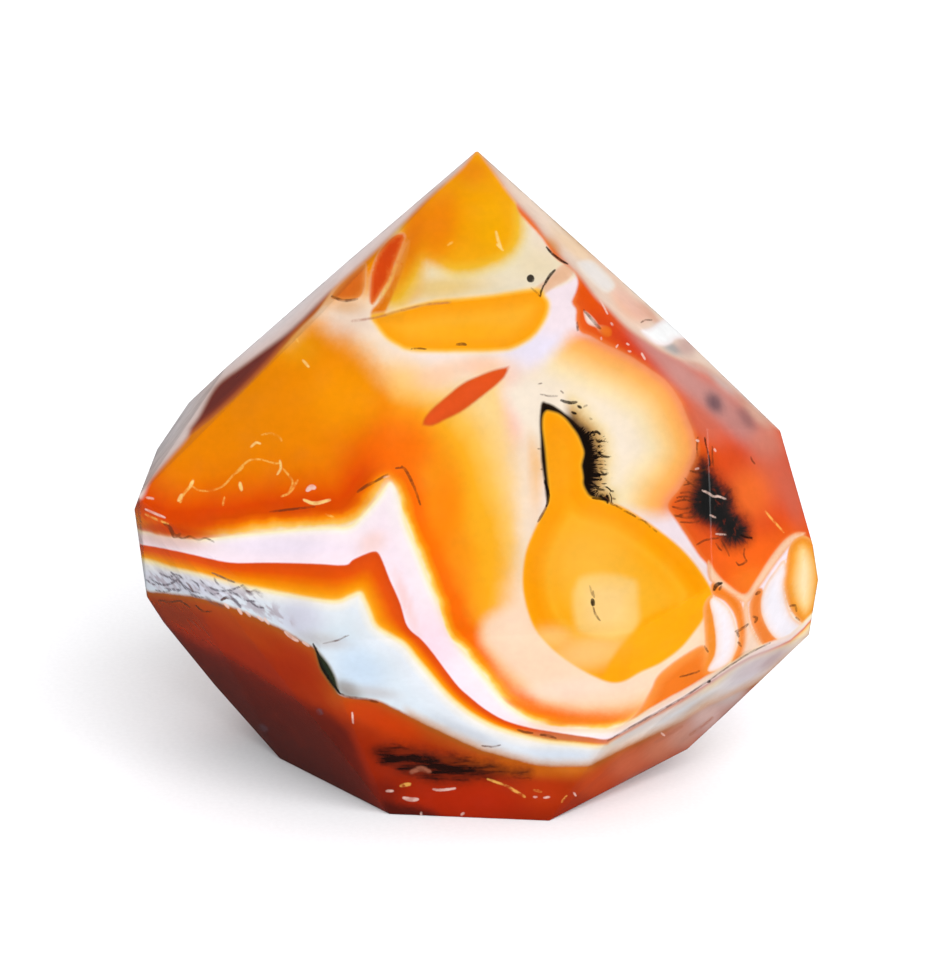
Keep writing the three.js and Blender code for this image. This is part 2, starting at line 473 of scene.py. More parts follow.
# Soft tints inside a layer: colour, middle, reach along and across, clockwise turn in degrees, strength
airbrush = {
    "ground": [
        ("#fa7a0c", (402, 440), (30, 40), 0, 0.8),
        ("#da4402", (182, 522), (44, 10), 6, 0.85),
        ("#d84a00", (310, 506), (56, 8), -4, 0.6),
        ("#fe8204", (446, 505), (20, 48), 0, 0.85),
        ("#fe8a10", (462, 560), (16, 30), 0, 0.5),
        ("#fb9802", (345, 395), (40, 34), 0, 0.85),
        ("#f09c08", (292, 345), (26, 18), 20, 0.8),
        ("#e68403", (262, 400), (44, 40), -40, 0.5),
        ("#fb6a06", (400, 450), (40, 26), 0, 0.7),
        ("#d85208", (180, 533), (36, 6), 8, 0.8),
        ("#fa741c", (535, 708), (40, 5), 14, 0.85),
        ("#f67a22", (592, 719), (44, 5), -4, 0.85),
        ("#f4823a", (644, 704), (30, 5), -28, 0.75),
        ("#c83e0c", (166, 530), (42, 6), 6, 0.85),
    ],
    "veil": [
        ("#ece4f6", (545, 352), (34, 16), -8, 0.9),
        ("#ece4f4", (520, 345), (30, 14), 0, 0.7),
        ("#fbc0b8", (512, 408), (13, 34), 0, 0.9),
        ("#fdc8a8", (482, 366), (24, 9), 0, 0.75),
        ("#fdc878", (404, 386), (32, 24), 20, 0.9),
        ("#ead0bc", (347, 322), (26, 18), 0, 0.9),
        ("#f6e5b4", (575, 382), (40, 14), -5, 0.9),
        ("#fddcc4", (575, 688), (60, 10), -6, 0.9),
        ("#fecb6c", (506, 545), (8, 46), 0, 0.8),
        ("#f5d9d0", (655, 505), (14, 20), -40, 0.6),
        ("#f6dcd0", (690, 575), (30, 16), 52, 0.8),
        ("#f7d6c4", (600, 352), (26, 14), 25, 0.8),
        ("#fcc8a0", (438, 376), (24, 12), -20, 0.7),
        ("#fddcc0", (514, 606), (16, 34), 0, 0.8),
        ("#fbbf70", (536, 445), (8, 60), 0, 0.75),
        ("#fdcb7c", (552, 387), (16, 10), 0, 0.6),
        ("#dca872", (348, 307), (15, 7), 0, 0.6),
    ],
    "pool": [
        ("#ee9f2c", (392, 290), (7, 26), 18, 0.8),
        ("#efd9b0", (540, 262), (26, 18), 0, 0.5),
        ("#f3dcc8", (545, 235), (14, 20), -40, 0.5),
        ("#e4d7b6", (470, 288), (60, 8), 5, 0.5),
        ("#f2ae3a", (403, 286), (9, 26), 14, 0.7),
        ("#ecc468", (440, 288), (46, 12), -6, 0.75),
        ("#f0a828", (408, 286), (14, 22), 25, 0.85),
    ],
    "amber": [
        ("#ee8004", (438, 226), (20, 40), 12, 0.9),
        ("#ee8508", (470, 170), (20, 14), 0, 0.7),
        ("#f7ac00", (492, 225), (16, 30), 0, 0.8),
        ("#e47404", (410, 240), (13, 44), 18, 0.9),
    ],
    "oval": [
        ("#e89a20", (392, 318), (16, 7), 0, 0.5),
        ("#ffac10", (470, 331), (50, 8), 0, 0.7),
    ],
    "pear": [
        ("#fdb942", (590, 560), (40, 40), 0, 0.6),
        ("#f9a81e", (560, 470), (14, 40), 0, 0.4),
        ("#fcca7e", (590, 652), (40, 16), -10, 0.8),
        ("#fcc878", (552, 636), (20, 10), 0, 0.7),
    ],
    "band": [
        ("#fcd0c2", (372, 543), (15, 11), -35, 0.6),
        ("#ffdce8", (440, 640), (26, 46), 35, 0.8),
        ("#efe3f3", (280, 546), (60, 10), 0, 0.7),
        ("#fff4f4", (395, 500), (8, 22), 0, 0.6),
        ("#fcd8c8", (575, 726), (60, 6), 0, 0.9),
        ("#ecc4ae", (690, 684), (70, 8), -32, 0.9),
        ("#ead2cc", (770, 648), (50, 8), -32, 0.9),
        ("#e8c2bc", (170, 541), (38, 8), 8, 0.85),
        ("#fcc2b8", (406, 602), (5, 32), -20, 0.55),
    ],
    "blue": [
        ("#cfcddd", (300, 618), (24, 18), 20, 0.8),
        ("#d9dae8", (190, 585), (50, 10), 10, 0.8),
        ("#cadef0", (358, 670), (30, 22), 40, 0.85),
        ("#b9c6c4", (350, 692), (18, 8), 20, 0.7),
        ("#c6ccd4", (470, 735), (40, 7), 25, 0.7),
        ("#d6e2ee", (560, 755), (40, 8), 0, 0.8),
        ("#ccd2d8", (680, 710), (40, 8), -28, 0.8),
        ("#dad8da", (745, 668), (24, 8), -28, 0.8),
        ("#dfcdc6", (668, 708), (60, 7), -30, 0.85),
        ("#cdbcc0", (760, 664), (46, 10), -34, 0.8),
        ("#b0908e", (774, 660), (18, 5), -35, 0.6),
        ("#cdc6c4", (630, 733), (36, 6), -30, 0.9),
        ("#c8aa92", (702, 703), (24, 4), -32, 0.6),
        # painted shade: a grey patch on the white band where the left facets turn from the light
        ("#bdb6b4", (322, 640), (26, 8), 10, 0.6),
        ("#8a7c74", (348, 690), (14, 8), 30, 0.75),
        ("#bdb8b6", (374, 692), (24, 6), 8, 0.6),
    ],
    "red": [
        ("#e85206", (590, 300), (8, 24), -42, 0.9),
        ("#e04a14", (605, 322), (10, 16), -42, 0.8),
        ("#d63c1c", (632, 345), (28, 9), 36, 0.9),
        ("#d2503c", (662, 365), (22, 10), 42, 0.85),
        # painted reflection: the greyish-pink spots along the haze arc, from (652, 346) down to (768, 446)
        ("#cc8d86", (652, 346), (34, 9), 43, 0.85),
        ("#cf938b", (684, 377), (34, 13), 44, 0.95),
        ("#c98f88", (716, 402), (34, 18), 45, 0.95),
        ("#c38780", (744, 424), (26, 16), 45, 0.9),
        ("#cf6c56", (704, 424), (26, 12), 47, 0.75),
        ("#cd8370", (768, 446), (20, 16), 60, 0.85),
        ("#cc6049", (792, 492), (11, 36), -14, 0.9),
        ("#d0654e", (772, 474), (18, 30), -20, 0.7),
        ("#f4702a", (750, 494), (22, 26), 0, 0.8),
        ("#fa681a", (746, 556), (42, 24), 0, 0.9),
        ("#cc6a34", (690, 474), (12, 24), -20, 0.7),
        ("#d95f24", (688, 505), (16, 14), 0, 0.6),
        # painted reflection: pale streaks along the same arc
        ("#d9c2ba", (722, 379), (26, 7), 45, 0.9),
        ("#d6ae9a", (757, 413), (22, 7), 45, 0.85),
        ("#d8bcb0", (690, 362), (24, 5), 30, 0.7),
        ("#5a4450", (714, 403), (8, 11), -30, 0.8),
        ("#7a5458", (746, 418), (6, 13), -35, 0.55),
        ("#f67a1c", (752, 582), (24, 16), 0, 0.8),
    ],
    # tints of the sliver facets, partly painted reflection: the grey and grey-blue streaks beside the white
    # glint
    "sliver": [
        ("#d9b088", (560, 221), (70, 4), 47, 0.9),
        ("#f0cdb6", (612, 276), (34, 5), 47, 0.8),
        ("#f9bfa0", (626, 306), (22, 9), 47, 0.85),
        ("#dc9a7e", (650, 314), (16, 4), 47, 0.7),
        ("#a3a5a6", (672, 348), (10, 5), 30, 0.85),
        ("#c79f98", (686, 346), (12, 9), 42, 0.8),
        ("#ecd0bc", (596, 284), (16, 5), 47, 0.5),
        ("#efb49c", (640, 312), (14, 7), 47, 0.8),
        ("#eec0b0", (626, 300), (20, 6), 47, 0.6),
        ("#dccac4", (742, 388), (46, 6), 46, 0.9),
        ("#f6cfa0", (573, 247), (28, 6), 42, 0.6),
        ("#e0903c", (550, 248), (12, 9), 47, 0.8),
    ],
    "base": [
        ("#8c3418", (170, 612), (34, 12), 18, 0.8),
        ("#b8460e", (262, 640), (60, 8), 28, 0.6),
        ("#a62a06", (300, 665), (40, 16), 35, 0.7),
        ("#cc420c", (366, 712), (26, 12), 20, 0.85),
        ("#d03e02", (395, 726), (26, 12), 18, 0.7),
        ("#bb3804", (400, 745), (20, 10), 20, 0.6),
        ("#bc2a08", (465, 800), (70, 20), 0, 0.85),
        ("#be370c", (545, 792), (24, 18), 0, 0.8),
        ("#d06a10", (515, 768), (60, 8), 6, 0.75),
        ("#d4721e", (572, 769), (20, 5), 0, 0.8),
        ("#cc4e20", (598, 782), (22, 12), -28, 0.8),
        ("#d06a46", (630, 764), (22, 14), -28, 0.85),
        ("#d07e5e", (660, 749), (20, 14), -28, 0.85),
        ("#cc9682", (684, 736), (18, 14), -28, 0.85),
        ("#d2b4ac", (706, 716), (20, 16), -35, 0.9),
        ("#c8b8b4", (730, 694), (20, 14), -40, 0.9),
        ("#9a7468", (640, 778), (30, 6), -28, 0.6),
        ("#c09078", (686, 714), (28, 5), -32, 0.6),
        ("#7a1c0a", (384, 792), (16, 12), 0, 0.8),
    ],
    "low": [
        ("#c8764c", (560, 738), (60, 8), 0, 0.8),
        ("#cc9a86", (650, 716), (50, 9), -30, 0.9),
        ("#d6bcb8", (740, 668), (60, 10), -32, 0.95),
    ],
}

# Fine lines: half width, then the points that they pass through
inkLines = {
    "umber": [
        (1.6, [(164, 524), (170, 528), (174, 536), (180, 534)]),
        (0.8, [(172, 532), (182, 538), (190, 536), (198, 540), (206, 538), (214, 542)]),
        (0.9, [(270, 512), (285, 510), (300, 508), (315, 507)]),
        (1.4, [(357, 492), (366, 486), (374, 482)]),
        (1, [(374, 482), (382, 478), (388, 474)]),
        (0.9, [(396, 468), (404, 468), (410, 478), (416, 492), (420, 505)]),
        (0.6, [(402, 466), (408, 474), (413, 486)]),
        (0.7, [(590, 586), (592, 595)]),
        (0.8, [(593, 606), (595, 613), (600, 621)]),
        (1.3, [(456, 345), (462, 344), (466, 345)]),
        (0.7, [(410, 349), (418, 348), (426, 349)]),
        (0.7, [(531, 288), (537, 293), (540, 297)]),
        (1.2, [(332, 296), (340, 300), (348, 301), (357, 299)]),
        (1, [(584, 310), (590, 317), (597, 324), (601, 329)]),
        (1, [(577, 322), (578, 331)]),
        (1.1, [(341, 694), (350, 697), (358, 698), (368, 700), (378, 702)]),
        (0.6, [(323, 644), (330, 642), (338, 640), (345, 637), (349, 635)]),
        (0.6, [(482, 746), (492, 747), (500, 745)]),
        (1, [(517, 730), (525, 732), (533, 733)]),
        (1, [(540, 735), (548, 736), (556, 738)]),
        (0.8, [(608, 741), (640, 722), (681, 699), (708, 681)]),
        (0.6, [(708, 681), (744, 656), (770, 643)]),
        (1, [(719, 590), (722, 586)]),
        (1, [(735, 632), (741, 629), (748, 624)]),
        (1, [(737, 632), (739, 637)]),
        (0.9, [(738, 642), (741, 646)]),
        (1.3, [(756, 594), (760, 592)]),
        (1.2, [(753, 616), (757, 618), (755, 622)]),
        (0.9, [(790, 606), (795, 605), (797, 611)]),
        (0.8, [(796, 617), (799, 620)]),
        (0.8, [(705, 646), (708, 652)]),
        (0.7, [(680, 677), (690, 674), (700, 671)]),
        (0.6, [(736, 562), (740, 565), (746, 562)]),
        (1, [(547, 504), (544, 512), (538, 522)]),
        (0.7, [(583, 407), (587, 405)]),
        (0.8, [(590, 418), (592, 420)]),
        (0.7, [(540, 394), (549, 396), (557, 396)]),
        (0.5, [(538, 384), (542, 383)]),
        (0.7, [(561, 391), (563, 393)]),
        (0.8, [(604, 496), (608, 500), (613, 503)]),
        (0.8, [(612, 498), (615, 499)]),
        (0.8, [(610, 504), (616, 506), (622, 509)]),
        (0.8, [(624, 511), (630, 513), (636, 517)]),
        (0.7, [(638, 519), (644, 521), (650, 527)]),
        (0.6, [(653, 529), (657, 532)]),
        (0.6, [(538, 449), (541, 449)]),
        (0.6, [(540, 469), (543, 469)]),
        (0.7, [(706, 469), (697, 472), (690, 471)]),
        (0.7, [(700, 478), (692, 483), (683, 485)]),
        (0.8, [(694, 493), (688, 492), (680, 493)]),
        (0.8, [(694, 502), (684, 500), (675, 502)]),
        (0.9, [(694, 507), (683, 509), (672, 507)]),
        (0.9, [(698, 515), (688, 518), (674, 515)]),
        (0.8, [(700, 521), (690, 523), (680, 522)]),
        (0.8, [(718, 538), (706, 540), (696, 545)]),
        (0.7, [(722, 541), (726, 548), (729, 556)]),
        (0.6, [(716, 543), (719, 548), (722, 551)]),
        (0.6, [(744, 532), (749, 536), (752, 540)]),
        (0.7, [(737, 563), (740, 565), (746, 561)]),
        (0.6, [(751, 456), (752, 461), (755, 464)]),
        (0.5, [(728, 490), (733, 489)]),
        (0.6, [(698, 437), (697, 448), (698, 456)]),
        (0.6, [(641, 323), (645, 320), (652, 320)]),
        (0.7, [(584, 311), (590, 318), (597, 326), (600, 329)]),
        (0.8, [(160, 600), (170, 602), (180, 601), (190, 607)]),
        (0.8, [(196, 605), (203, 611), (212, 611)]),
        (1, [(221, 600), (226, 598), (232, 599)]),
        (0.7, [(186, 582), (190, 586), (193, 592)]),
        (0.7, [(246, 590), (250, 592), (254, 590)]),
        (0.6, [(593, 591), (594, 598)]),
        (0.5, [(712, 446), (712, 456), (713, 466)]),
        (0.6, [(690, 497), (684, 496), (676, 498)]),
        (0.6, [(694, 512), (684, 513), (676, 517)]),
        (0.5, [(697, 487), (689, 483), (684, 478)]),
        (0.5, [(745, 548), (744, 555), (747, 562)]),
    ],
    "soot": [
        (2, [(592, 599), (593, 605)]),
        (1.2, [(555, 270), (549, 277), (545, 284)]),
        (0.8, [(544, 285), (541, 291), (540, 296)]),
        (3.6, [(530, 278), (531, 279)]),
        (1, [(546, 247), (552, 254), (560, 260), (568, 264)]),
        (1, [(313, 644), (317, 653), (321, 664), (327, 675), (334, 686), (340, 694)]),
        (1.4, [(708, 682), (710, 681)]),
        (1.7, [(714, 590), (717, 585), (722, 583)]),
        (1.3, [(545, 480), (548, 492), (548, 500), (546, 507)]),
        (1.4, [(561, 400), (566, 402), (571, 403), (577, 402)]),
        (1.2, [(578, 406), (581, 408)]),
        (1.1, [(572, 412), (576, 414)]),
        (1.2, [(592, 433), (597, 432), (600, 434)]),
        (1.1, [(596, 439), (599, 442), (602, 440)]),
        (0.9, [(599, 454), (604, 456), (609, 457)]),
        (1.3, [(593, 474), (597, 473), (600, 475)]),
        (1, [(601, 471), (604, 474), (608, 473)]),
        (0.9, [(590, 487), (595, 486), (598, 489), (605, 490)]),
        (1, [(592, 498), (600, 499), (606, 500), (608, 503)]),
        (0.8, [(740, 535), (746, 537), (752, 538)]),
        (0.6, [(705, 438), (706, 447), (709, 456), (710, 466)]),
    ],
    "wisp": [
        (0.6, [(765, 511), (774, 521), (784, 532)]),
        (1, [(180, 502), (184, 494), (190, 487), (193, 479)]),
        (0.5, [(192, 486), (200, 490), (212, 490), (224, 485), (234, 474), (243, 465), (251, 460),
              (262, 460), (274, 463), (281, 463)]),
        (0.8, [(236, 473), (240, 470), (243, 467)]),
        (0.7, [(283, 469), (289, 476), (293, 484), (288, 494)]),
        (0.5, [(262, 435), (270, 433), (278, 436), (282, 441)]),
        (0.8, [(282, 496), (290, 492), (298, 480)]),
        (0.6, [(326, 514), (334, 518)]),
        (0.6, [(145, 514), (158, 520), (168, 524)]),
        (0.6, [(225, 497), (223, 506)]),
        (0.5, [(296, 338), (299, 343)]),
        (0.6, [(448, 245), (453, 242)]),
        (1.5, [(401, 786), (405, 785), (410, 784)]),
        (0.8, [(488, 779), (497, 782), (505, 785)]),
        (1, [(505, 785), (515, 791), (525, 797)]),
        (0.8, [(534, 790), (541, 792)]),
        (0.6, [(562, 802), (567, 796)]),
    ],
    "pale": [
        (0.8, [(702, 490), (708, 493), (713, 496), (718, 496), (726, 499)]),
        (0.5, [(710, 515), (716, 518)]),
        (0.5, [(716, 534), (726, 535)]),
        (0.7, [(696, 440), (699, 441)]),
        (0.6, [(695, 469), (699, 468)]),
        (0.6, [(714, 449), (716, 451)]),
        (0.5, [(600, 300), (604, 307), (608, 314)]),
        (0.6, [(611, 323), (613, 325)]),
        (0.6, [(601, 337), (602, 340)]),
        (0.6, [(626, 343), (629, 345)]),
        (0.7, [(628, 351), (631, 352)]),
        (0.8, [(642, 353), (645, 359)]),
        (0.5, [(618, 345), (616, 347)]),
        (2.2, [(307, 490), (311, 487), (315, 488)]),
        (0.8, [(146, 497), (154, 499)]),
        (0.8, [(145, 509), (155, 513), (165, 518)]),
        (1.7, [(403, 798), (410, 799), (418, 799)]),
        (0.9, [(433, 789), (442, 790), (455, 788)]),
        (0.9, [(386, 791), (393, 791)]),
        (0.7, [(534, 797), (537, 797)]),
        (0.7, [(544, 798), (550, 797)]),
        (0.9, [(461, 815), (464, 813)]),
        (0.8, [(421, 812), (421, 818)]),
        (0.5, [(352, 713), (353, 724)]),
        (0.5, [(574, 793), (576, 796)]),
        (0.6, [(661, 733), (665, 736)]),
        (1, [(225, 604), (229, 608)]),
        (1.1, [(238, 609), (242, 614)]),
        (1, [(246, 611), (250, 616)]),
        (1.1, [(258, 616), (263, 621)]),
        (1, [(265, 618), (269, 624)]),
        (1.3, [(285, 632), (291, 637), (298, 641)]),
        (0.9, [(303, 642), (309, 646)]),
        (0.5, [(384, 478), (390, 476)]),
    ],
    "gold": [
        (1.5, [(179, 501), (182, 495)]),
        (1.2, [(190, 487), (193, 481)]),
        (0.8, [(280, 461), (281, 468), (277, 474)]),
        (0.8, [(251, 447), (256, 443), (260, 444)]),
        (1.4, [(240, 483), (242, 490)]),
        (1.4, [(304, 500), (312, 503), (321, 502), (330, 500)]),
        (0.9, [(303, 360), (309, 367)]),
        (1, [(496, 232), (498, 239), (501, 248)]),
        (0.8, [(497, 244), (503, 250)]),
        (1.3, [(438, 818), (446, 819), (456, 820)]),
        (1.2, [(468, 820), (474, 822), (480, 823)]),
        (1.2, [(494, 822), (502, 823)]),
    ],
    "rust": [
        (2, [(411, 772), (420, 769), (430, 771)]),
        (0.9, [(690, 735), (700, 728), (712, 718)]),
        (0.8, [(655, 742), (668, 735), (682, 726)]),
        (0.3, [(352, 321), (375, 318), (400, 311), (425, 305), (450, 302)]),
    ],
    "haze": [
        (1.8, [(318, 711), (322, 713)]),
        (2.2, [(260, 726), (266, 730)]),
        (0.9, [(243, 587), (250, 593), (256, 591), (262, 596)]),
        (0.9, [(206, 598), (214, 603), (224, 606)]),
    ],
    "crack": [
        (0.8, [(150, 577), (156, 582), (164, 585), (172, 583), (180, 577)]),
        (0.8, [(171, 572), (177, 577), (182, 584), (190, 590), (200, 593)]),
        (0.9, [(183, 586), (188, 591), (195, 596), (203, 598)]),
        (0.8, [(200, 580), (207, 586), (216, 590), (226, 591), (236, 588), (243, 585)]),
        (1.4, [(221, 600), (228, 597), (235, 600), (241, 607)]),
        (0.8, [(212, 573), (220, 576), (228, 580), (235, 582)]),
        (0.6, [(156, 590), (166, 592), (174, 588)]),
        (0.7, [(160, 573), (168, 577), (176, 575), (184, 579)]),
        (0.6, [(165, 588), (175, 590), (184, 588)]),
        (0.8, [(228, 592), (238, 595), (246, 600), (256, 601)]),
        (0.6, [(250, 601), (256, 606), (264, 608)]),
        (0.7, [(205, 590), (213, 594), (219, 593)]),
        (0.6, [(146, 580), (153, 584), (160, 584)]),
        (0.6, [(170, 578), (176, 582), (181, 588), (178, 592)]),
        (0.7, [(214, 578), (218, 584), (225, 588)]),
        (0.6, [(190, 580), (197, 584), (199, 590)]),
    ],
}

# How fast a shape closes behind the show face, in mm for each mm of depth
thickNodules = {
    "pear": 0.55, "pearHeart": 0.8, "pearLee": 0.8, "oval": 0.5, "leaf": 0.7, "fringe": 0.7, "dendrite": 0.5,
    "wedgeRed": 0.5, "wedgeBrown": 0.5, "tanStreak": 0.5, "browTan": 0.8, "whiteChip": 0.8, "honeyChip": 0.8,
    "crownPool": 0.25, "amberTop": 0.15, "lobe": 0.4, "wing": 0.8, "eyeSpike": 0.5, "eyeRimLeft": 0.5,
    "eyeRimRight": 0.5, "stem": 0.5, "rightBand": 0.4, "crescent": 0.3, "rightOval": 0.25, "threads": 0.5,
    "pocket": 0.4, "soot": 0.3, "leftStrip": 0.5, "sliverHighlight": 0.5, "sliverCloud": 0.5,
    "rightSliver": 0.1, "cornerShade": 0.1, "veilLow": 0.2,
}

brush = {
    "steps": 5,           # short pieces between two points of a curve
    "reach": 6.0,         # mm around a shape that its colours reach
    "farReach": {"whiteTop": 26.0, "redSide": 12.0},
    "roundShapes": ("fringe", "dendrite"),  # hairs are counted along the outlines of these
    "chipMix": 0.25,      # mm over which two neighbouring chips mix
    "dot": 1e-6,          # mm, a piece of a curve shorter than this is a point
    "lineReach": 3.0,     # mm around a fine line
    "lineEnd": 0.45,      # width of a fine line at its ends, as a share of its middle
    "lineThick": 0.5,     # how fast a fine line closes behind the show face
    "tintFall": 0.9,      # how fast a soft tint fades
    "tintShape": 1.5,     # and how flat it is in its middle
    "tintBack": 0.6,      # share of a tint that is gone deep behind the show face
    "tintDepth": 20.0,    # mm of depth over which it goes
    "thinnest": 0.05,     # mm, least width of the orange band
    "orangeRange": (-0.5, 1.5),
}


def stonePlace(point):
    # a point of the picture in mm from the aim, to the nearest 0.1 mm
    across, down = point
    middle, level = picture["middle"]
    return (round((across - middle) * pointSize, 1), round((level - down) * pointSize, 1))


def throughPoints(points, closed=True):
    # a smooth curve through points of the picture (Catmull-Rom), in mm
    points = np.array([stonePlace(point) for point in points])
    count = len(points)
    curve = []
    for index in range(count if closed else count - 1):
        steps = [index + shift for shift in (-1, 0, 1, 2)]
        if not closed:
            steps = [min(max(step, 0), count - 1) for step in steps]
        before, start, end, after = (points[step % count] for step in steps)
        for share in np.arange(brush["steps"]) / brush["steps"]:
            square, cube = share ** 2, share ** 3
            curve.append(0.5 * (2 * start + (end - before) * share
                                + (2 * before - 5 * start + 4 * end - after) * square
                                + (3 * start - before - 3 * end + after) * cube))
    if not closed:
        curve.append(points[-1])
    return np.array(curve)


def placesNear(places, curve, reach):
    low, high = curve.min(axis=0) - reach, curve.max(axis=0) + reach
    return np.nonzero(((places > low) & (places < high)).all(axis=1))[0]


def gapTo(places, start, end):
    # distance from each place to one short line, and how far along that line the nearest point is
    span = end - start
    length = math.hypot(*span)
    if length < brush["dot"]:
        return np.hypot(*(places - start).T), np.zeros(len(places))
    share = np.clip((places - start) @ span / length ** 2, 0.0, 1.0)
    off = places - start - share[:, None] * span
    return np.hypot(off[:, 0], off[:, 1]), share * length


def insetOf(places, outline, reach):
    # how far each place lies inside a closed outline (negative outside, down to the reach), and how far
    # along the outline its nearest point is
    inset = np.full(len(places), -reach)
    along = np.zeros(len(places))
    near = placesNear(places, outline, reach)
    spots = places[near]
    best = np.full(len(spots), np.inf)
    walk = np.zeros(len(spots))
    inside = np.zeros(len(spots), dtype=bool)
    walked = 0.0
    for start, end in zip(outline, np.roll(outline, -1, axis=0)):
        gap, share = gapTo(spots, start, end)
        closer = gap < best
        best[closer] = gap[closer]
        walk[closer] = walked + share[closer]
        if end[1] != start[1]:
            crossed = (start[1] > spots[:, 1]) != (end[1] > spots[:, 1])
            level = start[0] + (spots[:, 1] - start[1]) / (end[1] - start[1]) * (end[0] - start[0])
            inside ^= crossed & (spots[:, 0] < level)
        walked += math.hypot(*(end - start))
    inset[near] = np.where(inside, best, -best)
    along[near] = walk
    return inset, along


def lineInset(places, lines):
    # how far each place lies inside the nearest of a set of fine lines, which thin out towards their ends
    inset = np.full(len(places), -brush["lineReach"])
    for halfWidth, points in lines:
        middleWidth = round(halfWidth * pointSize, 2)
        curve = throughPoints(points, closed=False)
        near = placesNear(places, curve, brush["lineReach"])
        total = sum(math.hypot(*(end - start)) for start, end in zip(curve, curve[1:]))
        walked = 0.0
        for start, end in zip(curve, curve[1:]):
            gap, share = gapTo(places[near], start, end)
            part = np.clip((walked + share) / total, 0.0, 1.0)
            width = brush["lineEnd"] + (1.0 - brush["lineEnd"]) * np.sqrt(np.sin(np.pi * part))
            inset[near] = np.maximum(inset[near], middleWidth * width - gap)
            walked += math.hypot(*(end - start))
    return inset


def tintOf(places, spots):
    # soft tints laid over each other: colour already weighted by cover, and the cover
    colour = np.zeros((len(places), 3))
    cover = np.zeros(len(places))
    for chip, middle, reach, turn, strength in spots:
        cosine, sine = math.cos(math.radians(-turn)), math.sin(math.radians(-turn))
        far, wide = (round(part * pointSize, 1) for part in reach)
        off = places - np.array(stonePlace(middle))
        along = (off[:, 0] * cosine + off[:, 1] * sine) / far
        across = (off[:, 1] * cosine - off[:, 0] * sine) / wide
        weight = strength * np.exp(-brush["tintFall"] * (along ** 2 + across ** 2) ** brush["tintShape"])
        colour = colour * (1.0 - weight)[:, None] + weight[:, None] * np.array(hexColour(chip)[:3])
        cover = cover * (1.0 - weight) + weight
    return colour, cover


# Sardonyx: the layers, from the lowest up
# shape or sheet: its outline, or a group of small chips; spray: its soft tints
# edge: mm of depth inside the outline between which the layer fades in; wander: mm that its border bends
# stops: colour by depth in mm from the outline, or from the one named by depth
# share: the most that it covers; inside: a shape that cuts it; rightOf: mm from the aim where it begins
# patch: waves per mm and range of the patches that break it up; streak: how far level streaks fray it
# hair: hairs per mm, their length in mm and their slant; hairPlace: mm from the aim to their left and top

